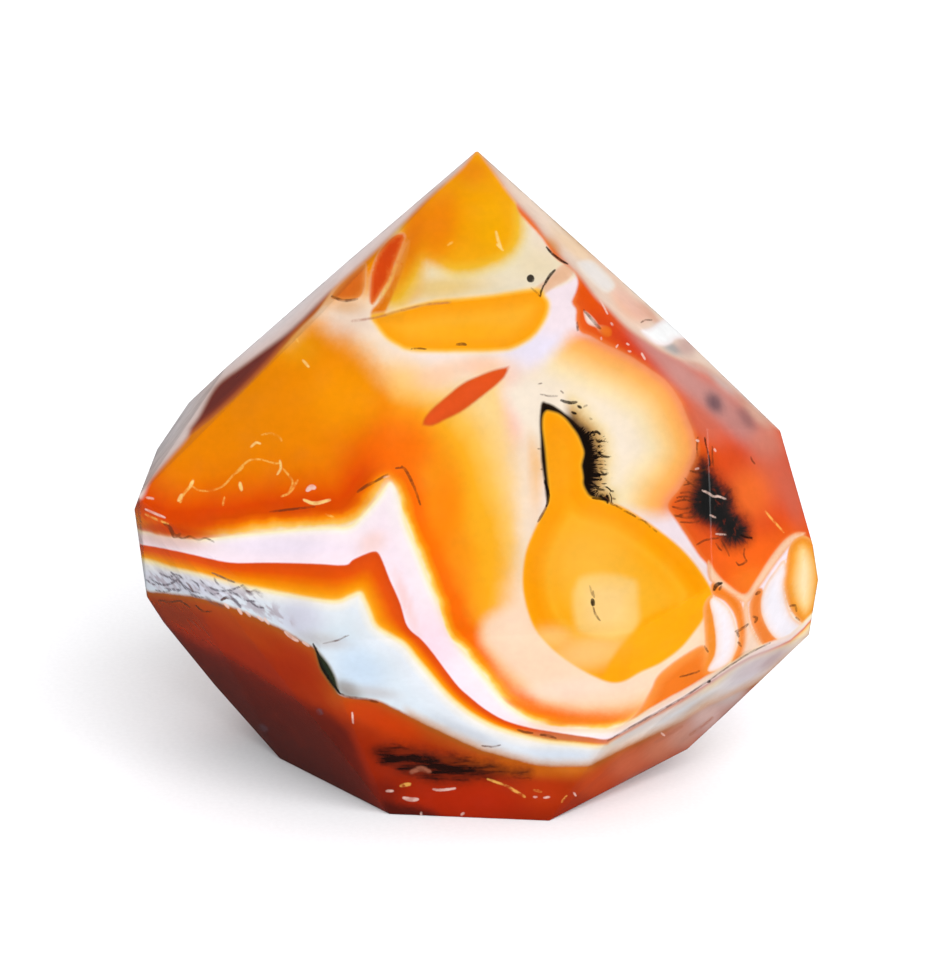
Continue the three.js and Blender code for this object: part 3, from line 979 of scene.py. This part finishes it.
layers = [
    {"shape": "veil", "spray": "veil", "edge": (-2.6, 2.2), "wander": 1.0,
     "stops": [(-2.5, "#fdc468"), (-0.5, "#fbcf92"), (1.5, "#f9dfc2"), (4.0, "#f7e3d6"), (7.0, "#f4e2e8")]},
    {"shape": "veilLow", "spray": "veil", "edge": (-1.6, 0.5), "wander": 0.3,
     "stops": [(-1.6, "#feb068"), (-0.5, "#fec896"), (0.8, "#fed8b8")]},
    {"shape": "lobe", "edge": (-1.0, 1.6), "wander": 0.5, "depth": "redSide",
     "stops": [(-8.5, "#f8e8d4"), (-6.6, "#f8e6cc"), (-5.0, "#fae2b4"), (-3.4, "#fdd08a"), (-2.0, "#fdb862"),
               (-1.0, "#fda858"), (-0.3, "#f49660"), (0.3, "#ee8a58")]},
    {"shape": "crownPool", "spray": "pool", "edge": (-0.35, 0.35), "wander": 0.15,
     "stops": [(-0.3, "#f2dcc4"), (0.6, "#f1e2c8"), (3.0, "#efe1c2"), (6.0, "#eedfba")]},
    {"shape": "amberTop", "spray": "amber", "edge": (-2.0, 0.3), "wander": 0.4,
     "stops": [(-2.0, "#eedcaa"), (-0.9, "#f0d070"), (0.0, "#f2bc30"), (1.2, "#f5a80a"), (3.5, "#f4a000")]},
    {"sheet": "crownChips", "edge": (-0.25, 0.2), "wander": 0.1},
    {"shape": "oval", "spray": "oval", "edge": (-0.55, 0.25), "wander": 0.12,
     "stops": [(-0.5, "#fde6ac"), (0.0, "#ffc648"), (0.5, "#ffa20c"), (1.2, "#ffa416"), (2.6, "#ffb22a")]},
    {"shape": "fringe", "edge": (-3.8, -0.4), "share": 0.95, "rightOf": 11.0, "wander": 0.7,
     "stops": [(-3.4, "#f9e4ae"), (-2.0, "#efd080"), (-1.0, "#c8984a"), (-0.3, "#6e4a1c")]},
    {"shape": "fringe", "edge": (-0.3, 0.1), "hair": (4.6, 2.2, 0.8), "hairPlace": (11.2, 6.6),
     "wander": 0.1,
     "stops": [(-0.7, "#b08a4c"), (-0.35, "#6a4a20"), (0.0, "#2a1a0e"), (0.4, "#140c08")]},
    {"shape": "pear", "spray": "pear", "edge": (-0.35, 0.12), "wander": 0.06,
     "stops": [(-0.35, "#fdc050"), (-0.05, "#ffb020"), (0.3, "#ffa006"), (1.4, "#ff9c00"), (2.3, "#ffa408"),
               (3.0, "#ffb01e"), (3.8, "#ffac16"), (5.0, "#ffb222"), (8.0, "#ffb92c")]},
    # painted reflection: a pale window square laid over the pear
    {"shape": "pearHeart", "edge": (-0.5, 0.8), "share": 0.85, "wander": 0.3,
     "stops": [(-0.5, "#ffc458"), (0.5, "#ffce72"), (2.5, "#ffd68c")]},
    {"shape": "pearLee", "inside": "pear", "edge": (-0.3, 0.5), "share": 0.9, "wander": 0.1,
     "stops": [(-0.3, "#ffa808"), (2.0, "#ffa60a")]},
    {"shape": "redSide", "spray": "red", "edge": (-0.25, 0.2), "wander": 0.12,
     "stops": [(-0.3, "#f4a876"), (0.1, "#ee7a38"), (0.6, "#e85a18"), (2.5, "#e04e1a"), (6.0, "#d44822")]},
    {"sheet": "sideChips", "edge": (-0.15, 0.12), "wander": 0.08},
    {"shape": "dendrite", "edge": (-2.0, 0.4), "share": 0.8, "wander": 1.0,
     "stops": [(-2.0, "#b84018"), (-0.9, "#842c16"), (0.0, "#501c18")]},
    {"shape": "dendrite", "edge": (-0.8, 0.8), "hair": (2.4, 0.5, 0.6), "patch": (0.9, 0.24, 0.46),
     "wander": 0.9,
     "stops": [(-0.8, "#5e2218"), (-0.1, "#3a1e1e"), (0.5, "#28201f"), (1.2, "#1c1c1c")]},
    {"sheet": "eyeRims", "edge": (-0.22, 0.16), "wander": 0.1},
    {"sheet": "eyeWhites", "edge": (-0.15, 0.1), "wander": 0.08},
    {"shape": "whiteTop", "spray": "band", "edge": (-0.2, 0.15), "wander": 0.12,
     "stops": [(-0.2, "#ffd868"), (0.1, "#fff0c0"), (0.5, "#fff4ec"), (1.0, "#feeef3"), (2.5, "#feebf4")]},
    {"shape": "whiteLow", "spray": "low", "edge": (-0.15, 0.1), "wander": 0.08, "depth": "orangeDepth",
     "stops": [(-0.05, "#e8703c"), (0.05, "#dc4a0e"), (0.35, "#e85406"), (0.6, "#f27400"), (0.85, "#fb9808"),
               (1.0, "#ffb42c")]},
    {"shape": "blueTop", "spray": "blue", "edge": (-0.25, 0.2), "wander": 0.12,
     "stops": [(-0.2, "#ffc850"), (0.2, "#ffe6a8"), (0.7, "#f6f2ea"), (1.6, "#e6ecf2"), (3.5, "#dde8f0")]},
    {"shape": "crackle", "edge": (-0.4, 1.2), "share": 0.8, "patch": (0.55, 0.46, 0.62), "wander": 0.8,
     "stops": [(-0.4, "#cfc6d0"), (1.0, "#b4a9b2"), (3.0, "#a89da8")]},
    {"shape": "redTop", "edge": (-1.3, 0.1), "share": 0.8, "rightOf": -8.0, "wander": 0.4,
     "stops": [(-1.3, "#dcc0a8"), (-0.5, "#cf9a68"), (0.1, "#c07838")]},
    {"shape": "redTop", "spray": "base", "edge": (-0.3, 0.2), "wander": 0.2,
     "stops": [(-0.3, "#d8b890"), (0.1, "#a85a1c"), (0.7, "#b44c12"), (2.0, "#a83408"), (5.0, "#a02a08"),
               (9.0, "#962408")]},
    {"sheet": "shades", "edge": (-0.2, 1.4), "share": 0.9, "patch": (0.16, -0.1, 0.45), "wander": 0.7},
    {"shape": "soot", "edge": (-1.4, 0.1), "share": 0.7, "wander": 1.2,
     "stops": [(-1.4, "#9a2808"), (0.0, "#5a1c0e")]},
    {"shape": "soot", "edge": (-0.6, 0.9), "share": 0.95, "streak": 1.0, "patch": (0.8, 0.22, 0.44),
     "wander": 1.2,
     "stops": [(-0.6, "#5a1c0c"), (0.2, "#30100a"), (0.8, "#180c0a")]},
    # sliver facets with their tints; the left sliver's grey-white and the grey streaks about the glint are
    # painted reflection
    {"sheet": "sliversAndReflection", "spray": "sliver", "edge": (-0.5, 0.25), "wander": 0.06},
    {"sheet": "strips", "edge": (-0.3, 0.25), "wander": 0.08},
]

# Small chips that share a layer: colour by depth in mm from the outline of each
sheets = {
    "crownChips": {
        "tanStreak": [(-0.4, "#ee9c28"), (0.0, "#e68818"), (0.5, "#e07408"), (1.2, "#df7006")],
        "wedgeRed": [(-0.3, "#f0c8a8"), (0.1, "#e8762c"), (0.5, "#d8480e"), (1.5, "#d2420c")],
        "wedgeBrown": [(-0.3, "#f0c8a0"), (0.1, "#e48a3a"), (0.6, "#da6c1c"), (1.5, "#d4641a")],
        "leaf": [(-0.1, "#d8601e"), (0.3, "#e2521c"), (0.9, "#e8551e")],
        "browTan": [(-0.2, "#ecc4a8"), (0.5, "#e8b894")],
    },
    "sideChips": {
        "whiteChip": [(-0.1, "#f0b090"), (0.3, "#f6dcd0")],
        "honeyChip": [(-0.1, "#e05a14"), (0.4, "#ee7420")],
    },
    "eyeRims": {
        "threads": [(-0.2, "#f0904a"), (0.3, "#f6c8a4")],
        "eyeRimLeft": [(-0.2, "#f8b070"), (0.5, "#f08c28")],
        "eyeRimRight": [(-0.2, "#f4a058"), (0.5, "#ec7c20")],
        "stem": [(-0.2, "#f4c090"), (0.4, "#f4d4bc")],
        "rightBand": [(-0.2, "#f4a468"), (0.5, "#ee8030")],
        "leftStrip": [(-0.3, "#e08428"), (0.2, "#c4622c"), (0.6, "#8c3c2a"), (1.1, "#74322c"),
                      (2.0, "#7a3428")],
        "pocket": [(-0.4, "#f6b890"), (0.3, "#f5923c"), (1.3, "#f07a20")],
    },
    "eyeWhites": {
        "eyeSpike": [(-0.1, "#f6c08c"), (0.3, "#f8e4e0"), (1.0, "#f6eef2")],
        "rightOval": [(-0.2, "#f4b068"), (0.4, "#f09028"), (0.9, "#f6a63c"), (1.5, "#fccf84"),
                      (2.2, "#ffe6b4")],
        "crescent": [(-0.1, "#f4c498"), (0.35, "#f4e6e6"), (1.0, "#f3eef4")],
    },
    # sliver facets: the right one in its own pale colour, the left one in painted reflection
    "sliversAndReflection": {
        "rightSliver": [(-0.4, "#dca890"), (0.5, "#ecd2c0"), (2.0, "#f3dfcc")],
        # painted reflection: grey-white room light on the left sliver facets
        "leftSliverReflection": [(-0.4, "#d0a898"), (0.3, "#eed8d2"), (1.5, "#f6ecec")],
    },
    "shades": {
        "baseShade": [(-0.2, "#84220c"), (0.8, "#6a1c10"), (2.5, "#561a12"), (6.0, "#4a1b16")],
        "cornerShade": [(-0.2, "#6a1c10"), (0.8, "#4a1812")],
    },
    "strips": {
        "wing": [(-0.1, "#8a6a30"), (0.15, "#34361e"), (0.6, "#18281e")],
        # painted highlight: white glint on the right sliver facet
        "sliverHighlight": [(-0.4, "#ecd0cc"), (0.6, "#ffffff")],
        "sliverCloud": [(-0.4, "#f2dcc8"), (0.6, "#f0e8e2")],
    },
}


# Stone skin: a copy of the CAD stone, cut finer where the markings are fine

fineShapes = (
    "pear", "oval", "leaf", "redSide", "whiteTop", "whiteLow", "blueTop", "redTop", "wedgeRed", "wedgeBrown",
    "eyeSpike", "crescent", "rightOval", "threads", "rightBand", "eyeRimLeft", "eyeRimRight", "whiteChip",
    "honeyChip", "soot", "pocket", "stem",
)
hairShapes = ("fringe", "dendrite", "wing")

skin = {
    "weld": 0.002,        # mm, corners of the CAD mesh closer than this are one
    "flatness": 0.008,    # radians, triangles of a facet that are joined
    "firstCut": 1.2,      # mm between the cutting planes
    "cutReach": 0.001,    # mm, a corner this close to a plane lies on it
    "sliver": 0.004,      # mm, edges shorter than this close up
    "showStep": 0.62,     # mm, longest edge on the show face
    "fineStep": 0.38,     # round nodules and bands
    "hairStep": 0.2,      # along fine lines
    "backStep": 2.0,      # behind the show face
    "overStep": 1.45,     # an edge is cut when it is this much longer than its step
    "sweeps": 4,          # times that the edges are looked over
    "showDepth": 0.5,     # mm behind the show face that still count as on it
    "fineCell": 0.35,     # mm, cells of the map that says where to cut fine
    "mapWidth": 4096,     # cells, more than the drawing is high
}

body = {
    "swirlReach": 7.0,    # mm that the bands wander behind the show face
    "swirlDepth": 26.0,   # mm of depth over which the wandering sets in
    "dip": 0.16,          # how fast they sink towards the back
    "waves": 7,
    "waveLength": (22.0, 60.0),  # mm, shortest and longest
    "waveHeight": 2.6,    # brings the sum of the waves to about 1
    "seeds": (3, 5),      # across and up
}


def facetPlanes(bm):
    normals = np.array([face.normal[:] for face in bm.faces])
    middles = np.array([face.calc_center_median()[:] for face in bm.faces])
    return normals, (normals * middles).sum(axis=1)


def sightLine(points, planes):
    # drawing place of each point, and how far the point lies behind the show face
    normals, offsets = planes
    ray = points - eyePoint
    depth = -(ray @ backWay)
    across = view["distance"] * (ray @ rightWay) / depth
    up = view["distance"] * (ray @ upWay) / depth
    facing = ray @ normals.T
    height = offsets - normals @ eyePoint
    with np.errstate(divide="ignore", invalid="ignore"):
        entry = np.where(facing < 0.0, height[None, :] / facing, -np.inf).max(axis=1)
    behind = np.maximum((1.0 - entry) * np.linalg.norm(ray, axis=1), 0.0)
    return np.stack((across, up), axis=1), behind


def easy(value):
    value = np.clip(value, 0.0, 1.0)
    return value * value * (3.0 - 2.0 * value)


def swirl(points, seed):
    # slow waves through the stone, from -1 to 1 or so
    random = np.random.default_rng(seed)
    total = np.zeros(len(points))
    for wave in range(body["waves"]):
        way = random.normal(size=3)
        way /= np.linalg.norm(way)
        length = random.uniform(*body["waveLength"])
        start = random.uniform(0.0, 2 * math.pi)
        total += np.sin(points @ way * 2 * math.pi / length + start)
    return total / body["waveHeight"]


def drawingPlaces(points, planes):
    # where each point reads the drawing: as seen on the show face, drifting with depth behind it
    places, behind = sightLine(points, planes)
    drift = easy(behind / body["swirlDepth"]) * body["swirlReach"]
    places = places + np.stack([drift * swirl(points, seed) for seed in body["seeds"]], axis=1)
    places[:, 1] += body["dip"] * behind
    return places, behind


def cellKeys(places):
    # one number for each cell of the drawing
    across, up = (places // skin["fineCell"]).astype(int).T
    return across * skin["mapWidth"] + up


def cellsAround(curves):
    # the cells that the curves cross, and their neighbours
    keys = np.unique(cellKeys(np.vstack(curves)))
    steps = (-1, 0, 1)
    return np.concatenate([keys + one * skin["mapWidth"] + other for one in steps for other in steps])


def fineMap():
    # cells of the drawing that hold nodules and bands, and those that hold fine lines and hairs
    fine = [throughPoints(drawing[name]) for name in fineShapes]
    hair = [throughPoints(drawing[name]) for name in hairShapes]
    for lines in inkLines.values():
        hair += [throughPoints(points, closed=False) for halfWidth, points in lines]
    return cellsAround(fine), cellsAround(hair)


def splitFace(corners, middles, places):
    # cuts one triangle at the middles of its sides; a side that isn't cut has -1
    one, two, three = corners
    oneTwo, twoThree, threeOne = middles
    if max(middles) < 0:
        return [corners]
    if min(middles) >= 0:
        return [(one, oneTwo, threeOne), (oneTwo, two, twoThree), (threeOne, twoThree, three),
                (oneTwo, twoThree, threeOne)]
    while oneTwo < 0 or threeOne >= 0:
        one, two, three = two, three, one
        oneTwo, twoThree, threeOne = twoThree, threeOne, oneTwo
    if twoThree < 0:
        return [(one, oneTwo, three), (oneTwo, two, three)]
    tip = (oneTwo, two, twoThree)
    if math.dist(places[one], places[twoThree]) < math.dist(places[oneTwo], places[three]):
        return [tip, (one, oneTwo, twoThree), (one, twoThree, three)]
    return [tip, (oneTwo, twoThree, three), (one, oneTwo, three)]


def cutFiner(places, faces, planes):
    # splits the longer edges, down to the step that their place asks for
    fine, hair = fineMap()
    for sweep in range(skin["sweeps"]):
        sides = np.sort(np.concatenate([faces[:, [0, 1]], faces[:, [1, 2]], faces[:, [2, 0]]]), axis=1)
        ends, which = np.unique(sides, axis=0, return_inverse=True)
        lengths = np.linalg.norm(places[ends[:, 0]] - places[ends[:, 1]], axis=1)
        middles = (places[ends[:, 0]] + places[ends[:, 1]]) / 2
        spots, behind = sightLine(middles, planes)
        keys = cellKeys(spots)
        wanted = np.full(len(middles), skin["showStep"])
        wanted[np.isin(keys, fine)] = skin["fineStep"]
        wanted[np.isin(keys, hair)] = skin["hairStep"]
        wanted[behind > skin["showDepth"]] = skin["backStep"]
        cut = lengths > skin["overStep"] * wanted
        if not cut.any():
            break
        newPoint = np.full(len(ends), -1)
        newPoint[cut] = len(places) + np.arange(cut.sum())
        places = np.vstack([places, middles[cut]])
        points = places.tolist()
        sideMiddles = newPoint[which.reshape(3, -1).T].tolist()
        parts = [splitFace(corners, cuts, points) for corners, cuts in zip(faces.tolist(), sideMiddles)]
        faces = np.array([part for group in parts for part in group])
    return places, faces


def buildSkin():
    bm = bmesh.new()
    bm.from_mesh(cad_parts["sardonyx_freeform"].data)
    bmesh.ops.scale(bm, vec=(1 / mm, 1 / mm, 1 / mm), verts=bm.verts)
    bmesh.ops.remove_doubles(bm, verts=bm.verts, dist=skin["weld"])
    bmesh.ops.dissolve_limit(bm, angle_limit=skin["flatness"], verts=bm.verts, edges=bm.edges)
    planes = facetPlanes(bm)
    step = skin["firstCut"]
    for axis, way in enumerate(((1.0, 0.0, 0.0), (0.0, 1.0, 0.0), (0.0, 0.0, 1.0))):
        reach = [vert.co[axis] for vert in bm.verts]
        for cut in np.arange(min(reach) + step / 2, max(reach), step):
            everything = bm.verts[:] + bm.edges[:] + bm.faces[:]
            bmesh.ops.bisect_plane(bm, geom=everything, dist=skin["cutReach"],
                                   plane_co=[cut * part for part in way], plane_no=way)
    bmesh.ops.triangulate(bm, faces=bm.faces)
    bmesh.ops.dissolve_degenerate(bm, dist=skin["sliver"], edges=bm.edges)
    bmesh.ops.triangulate(bm, faces=[face for face in bm.faces if len(face.verts) > 3])
    bm.verts.index_update()
    places = np.array([vert.co[:] for vert in bm.verts])
    faces = np.array([[vert.index for vert in face.verts] for face in bm.faces])
    bm.free()
    places, faces = cutFiner(places, faces, planes)
    mesh = bpy.data.meshes.new("polishedStone")
    mesh.from_pydata(places.tolist(), [], faces.tolist())
    for polygon in mesh.polygons:
        polygon.use_smooth = True
    return mesh, planes


def keep(mesh, name, values, kind="FLOAT"):
    # a value for each point of the skin, under a name that the material reads
    attribute = mesh.attributes.new(name, kind, "POINT")
    field = {"FLOAT": "value", "FLOAT_VECTOR": "vector", "FLOAT_COLOR": "color"}[kind]
    attribute.data.foreach_set(field, np.ascontiguousarray(values, dtype=np.float32).ravel())


def chipColours(values, stops):
    # colours by depth, one row for each value
    depths = [depth for depth, chip in stops]
    chips = np.array([hexColour(chip)[:3] for depth, chip in stops])
    return np.column_stack([np.interp(values, depths, chips[:, part]) for part in range(3)])


def keepSheet(mesh, name, members, insets):
    # the chips of one sheet as one inset, each with its own colours, which mix a little where two chips meet
    rows = np.array([insets[member] for member in members])
    best = rows.max(axis=0)
    shares = np.exp((rows - best) / brush["chipMix"])
    shares /= shares.sum(axis=0)
    colours = np.ones((len(best), 4))
    paints = [chipColours(row, stops) for row, stops in zip(rows, members.values())]
    colours[:, :3] = sum(share[:, None] * paint for share, paint in zip(shares, paints))
    keep(mesh, name, best)
    keep(mesh, name + "Paint", colours, "FLOAT_COLOR")


def drawMarkings(mesh, planes):
    # reads the drawing at each point of the skin, then brings the skin from mm to metres
    points = np.zeros(len(mesh.vertices) * 3)
    mesh.vertices.foreach_get("co", points)
    points = points.reshape(-1, 3)
    places, behind = drawingPlaces(points, planes)
    keep(mesh, "drawn", np.column_stack((places, behind)), "FLOAT_VECTOR")
    insets = {}
    for name, outline in drawing.items():
        reach = brush["farReach"].get(name, brush["reach"])
        inset, along = insetOf(places, throughPoints(outline), reach)
        insets[name] = inset - thickNodules.get(name, 0.0) * behind
        if name in brush["roundShapes"]:
            keep(mesh, name + "Round", along)
    for name in sorted(set(layer["shape"] for layer in layers if "shape" in layer)):
        keep(mesh, name, insets[name])
    for name, members in sheets.items():
        keepSheet(mesh, name, members, insets)
    above, below = insets["whiteLow"], insets["blueTop"]
    share = above / np.maximum(above - below, brush["thinnest"])
    keep(mesh, "orangeDepth", np.clip(share, *brush["orangeRange"]))
    for name, lines in inkLines.items():
        keep(mesh, name + "Ink", lineInset(places, lines) - brush["lineThick"] * behind)
    left = 1.0 - brush["tintBack"] * easy(behind / brush["tintDepth"])
    for name, spots in airbrush.items():
        colour, cover = tintOf(places, spots)
        keep(mesh, name + "Spray", np.column_stack((colour * left[:, None], cover * left)), "FLOAT_COLOR")
    points *= mm
    mesh.vertices.foreach_set("co", points.ravel())
    mesh.update()


# colour, softness in mm, strength, how much of it is broken up
ink = {
    "haze": ("#5c4a52", 0.30, 0.6, 0.7),
    "crack": ("#4c4450", 0.13, 0.75, 0.8),
    "umber": ("#5a3018", 0.10, 0.75, 0.5),
    "rust": ("#b06a50", 0.25, 0.7, 0.5),
    "soot": ("#150d0a", 0.10, 0.95, 0.2),
    "wisp": ("#ffc860", 0.14, 0.7, 0.9),
    "gold": ("#ffdc88", 0.14, 0.85, 0.4),
    "pale": ("#f4cfc0", 0.12, 0.85, 0.4),
}

# colour by depth in mm from the upper edge of the white band
groundLeft = [(0.0, "#fbe6c4"), (0.5, "#fcc252"), (1.1, "#fb9208"), (1.6, "#ec6600"), (2.2, "#d94a00"),
              (3.2, "#de4600"), (4.2, "#e45600"), (5.6, "#e86a00"), (7.5, "#ec7c00"), (10.0, "#ee8400"),
              (20.0, "#ee8a00")]
groundRight = [(0.0, "#ffedc0"), (0.35, "#ffcc54"), (0.8, "#fb960a"), (1.5, "#fc6c00"), (2.3, "#fe6e06"),
               (3.1, "#fe8412"), (3.9, "#ff9a1a"), (4.8, "#ffa61a"), (6.5, "#feae1a"), (9.0, "#feb222"),
               (11.0, "#fec250"), (14.0, "#fdd890")]

pattern = {
    "broad": (0.45, 2.0),         # waves per mm and detail of the slow bends in the borders
    "fine": (2.4, 3.0),           # and of the small bends
    "fineShare": 0.5,
    "groundBend": 0.9,            # mm
    "sideChange": (-11.2, -8.0),  # mm, where the left ground gives way to the right one
    "sideBend": 2.0,              # mm
    "hair": (4.0, 0.7),           # detail and roughness of the hairs on an outline
    "hairRange": (0.42, 0.7),
    "hairLeft": (-0.6, 0.4),      # mm around the left end of the hairs, where they begin
    "hairTop": 2.0,               # mm below their top end, where they are whole
    "streak": (0.25, 1.6, 3.0),   # per mm across and up, and detail
    "streakLength": 5.0,          # mm
    "streakMiddle": 0.55,
    "insideFade": 0.4,            # mm
    "rightFade": 0.8,             # mm
    "patchDetail": 4.0,
    "gaps": (1.1, 3.0),           # per mm and detail of the gaps in the fine lines
    "gapRange": (0.35, 0.6),
    "inkBend": 0.12,              # mm
    "inkHeart": 0.3,              # where a fine line is fully coloured, as a share of its softness
}

finish = {
    "roughness": (0.07, 0.16),    # polish at its best and at its dullest
    "wear": (0.35, 4.0),          # per mm and detail of the duller places
    "wearRange": (0.35, 0.75),
    "ior": 1.544,
    "specular": 0.25,
    "grain": 0.9,                 # mm, size of the finest mottling
    "cloud": 6.0,                 # mm, size of the broad clouds
    "tone": (3.0, 0.945, 0.035, 0.07),  # detail, darkest tone, and what the mottling and the clouds add
    "toneRange": (0.3, 0.7),
    "ripple": (0.22, 2.0),        # per mm and detail of the slow waves in the polish
    "rippleHeight": (0.25, 0.4),  # strength, and height in mm
}


def addStoneMaterial(mesh):
    material, tree, surface = newMaterial("polishedSardonyx")
    place = put(tree, "ShaderNodeTexCoord").outputs["Object"]
    inMm = put(tree, "ShaderNodeMapping", {"Vector": place, "Scale": (1 / mm, 1 / mm, 1 / mm)}).outputs[0]
    drawnPlace = put(tree, "ShaderNodeAttribute", attribute_name="drawn").outputs["Vector"]
    drawnAcross, drawnUp = put(tree, "ShaderNodeSeparateXYZ", {0: drawnPlace}).outputs[:2]

    def noise(scale, detail, vector=inMm, rough=0.5):
        sockets = {"Vector": vector, "Scale": scale, "Detail": detail, "Roughness": rough}
        return put(tree, "ShaderNodeTexNoise", sockets).outputs["Fac"]

    def read(name):
        return put(tree, "ShaderNodeAttribute", attribute_name=name).outputs["Fac"]

    def spray(name, colour):
        # the soft tints of a layer over its colour
        soft = put(tree, "ShaderNodeAttribute", attribute_name=name + "Spray")
        bare = calc(tree, "SUBTRACT", 1.0, soft.outputs["Alpha"])
        dimmed = put(tree, "ShaderNodeVectorMath", {0: colour, "Scale": bare}, operation="SCALE").outputs[0]
        tints = {0: dimmed, 1: soft.outputs["Color"]}
        return put(tree, "ShaderNodeVectorMath", tints, operation="ADD").outputs[0]

    def growHair(layer, inset):
        # fine hairs that stand out from an outline
        perMm, hairLength, slant = layer["hair"]
        strand = put(tree, "ShaderNodeCombineXYZ", {
            0: calc(tree, "MULTIPLY", read(layer["shape"] + "Round"), perMm),
            1: calc(tree, "MULTIPLY", inset, slant),
        }).outputs[0]
        detail, rough = pattern["hair"]
        strands = soften(tree, noise(1.0, detail, strand, rough), *pattern["hairRange"])
        if "hairPlace" in layer:
            leftEnd, topEnd = layer["hairPlace"]
            begin, whole = pattern["hairLeft"]
            onRight = soften(tree, drawnAcross, leftEnd + begin, leftEnd + whole)
            below = soften(tree, drawnUp, topEnd, topEnd - pattern["hairTop"])
            strands = calc(tree, "MULTIPLY", strands, calc(tree, "MULTIPLY", onRight, below))
        return calc(tree, "MULTIPLY_ADD", strands, hairLength, inset)

    def growStreaks(layer, inset):
        # level streaks that fray an outline
        perMmAcross, perMmUp, detail = pattern["streak"]
        strand = put(tree, "ShaderNodeCombineXYZ", {
            0: calc(tree, "MULTIPLY", drawnAcross, perMmAcross),
            1: calc(tree, "MULTIPLY", drawnUp, perMmUp),
        }).outputs[0]
        fray = calc(tree, "SUBTRACT", noise(1.0, detail, strand), pattern["streakMiddle"])
        return calc(tree, "MULTIPLY_ADD", fray, pattern["streakLength"] * layer["streak"], inset)

    def coverOf(layer, inset):
        # how much of the layer shows at each place
        share = soften(tree, inset, *layer["edge"])
        if "inside" in layer:
            within = soften(tree, read(layer["inside"]), 0.0, pattern["insideFade"])
            share = calc(tree, "MULTIPLY", share, within)
        if "rightOf" in layer:
            leftEnd, fade = layer["rightOf"], pattern["rightFade"]
            share = calc(tree, "MULTIPLY", share, soften(tree, drawnAcross, leftEnd - fade, leftEnd + fade))
        if "share" in layer:
            share = calc(tree, "MULTIPLY", share, layer["share"])
        if "patch" in layer:
            scale, low, high = layer["patch"]
            patches = soften(tree, noise(scale, pattern["patchDetail"]), low, high)
            share = calc(tree, "MULTIPLY", share, patches)
        return share

    def paintOf(layer, inset):
        if "sheet" in layer:
            name = layer["sheet"] + "Paint"
            paint = put(tree, "ShaderNodeAttribute", attribute_name=name).outputs["Color"]
        else:
            value = read(layer["depth"]) if "depth" in layer else inset
            paint = rampOf(tree, value, layer["stops"])
        return spray(layer["spray"], paint) if "spray" in layer else paint

    broad = calc(tree, "SUBTRACT", noise(*pattern["broad"]), 0.5)
    fine = calc(tree, "SUBTRACT", noise(*pattern["fine"]), 0.5)
    wander = calc(tree, "ADD", broad, calc(tree, "MULTIPLY", fine, pattern["fineShare"]))

    depth = calc(tree, "MULTIPLY", read("whiteTop"), -1.0)
    depth = calc(tree, "MULTIPLY_ADD", broad, pattern["groundBend"], depth)
    left = rampOf(tree, depth, groundLeft)
    right = rampOf(tree, depth, groundRight)
    bent = calc(tree, "MULTIPLY_ADD", broad, pattern["sideBend"], drawnAcross)
    side = soften(tree, bent, *pattern["sideChange"])
    colour = spray("ground", blendColour(tree, side, left, right))

    for layer in layers:
        inset = read(layer.get("sheet") or layer["shape"])
        if "hair" in layer:
            inset = growHair(layer, inset)
        if "streak" in layer:
            inset = growStreaks(layer, inset)
        inset = calc(tree, "MULTIPLY_ADD", wander, layer["wander"], inset)
        share = coverOf(layer, inset)
        colour = blendColour(tree, share, colour, paintOf(layer, inset))

    gaps = soften(tree, noise(*pattern["gaps"]), *pattern["gapRange"])
    for name, (chip, soft, strength, broken) in ink.items():
        edge = calc(tree, "MULTIPLY_ADD", fine, pattern["inkBend"], read(name + "Ink"))
        whole = calc(tree, "MULTIPLY_ADD", gaps, strength * broken, strength * (1.0 - broken))
        share = calc(tree, "MULTIPLY", soften(tree, edge, -soft, soft * pattern["inkHeart"]), whole)
        colour = blendColour(tree, share, colour, hexColour(chip))

    detail, darkest, mottleTone, cloudTone = finish["tone"]
    clouds = soften(tree, noise(1.0 / finish["cloud"], detail), *finish["toneRange"])
    mottle = soften(tree, noise(1.0 / finish["grain"], detail), *finish["toneRange"])
    tone = calc(tree, "MULTIPLY_ADD", mottle, mottleTone, darkest)
    tone = calc(tree, "MULTIPLY_ADD", clouds, cloudTone, tone)
    colour = put(tree, "ShaderNodeVectorMath", {0: colour, "Scale": tone}, operation="SCALE").outputs[0]

    low, high = finish["roughness"]
    dull = soften(tree, noise(*finish["wear"]), *finish["wearRange"])
    worn = calc(tree, "MULTIPLY_ADD", dull, high - low, low)
    strength, height = finish["rippleHeight"]
    ripple = {"Height": noise(*finish["ripple"]), "Strength": strength, "Distance": height * mm}
    fill(tree, surface, {
        "Base Color": colour,
        "Roughness": worn,
        "IOR": finish["ior"],
        "Specular IOR Level": finish["specular"],
        "Normal": put(tree, "ShaderNodeBump", ripple).outputs[0],
    })
    mesh.materials.append(material)


def addStone():
    mesh, planes = buildSkin()
    print("stone skin cut:", len(mesh.vertices), "points,", len(mesh.polygons), "faces")
    drawMarkings(mesh, planes)
    addStoneMaterial(mesh)
    stone = bpy.data.objects.new("stone", mesh)
    bpy.context.scene.collection.objects.link(stone)
    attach(stone, "root")
    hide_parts("sardonyx_freeform")


addStone()
print("stone drawn and polished")
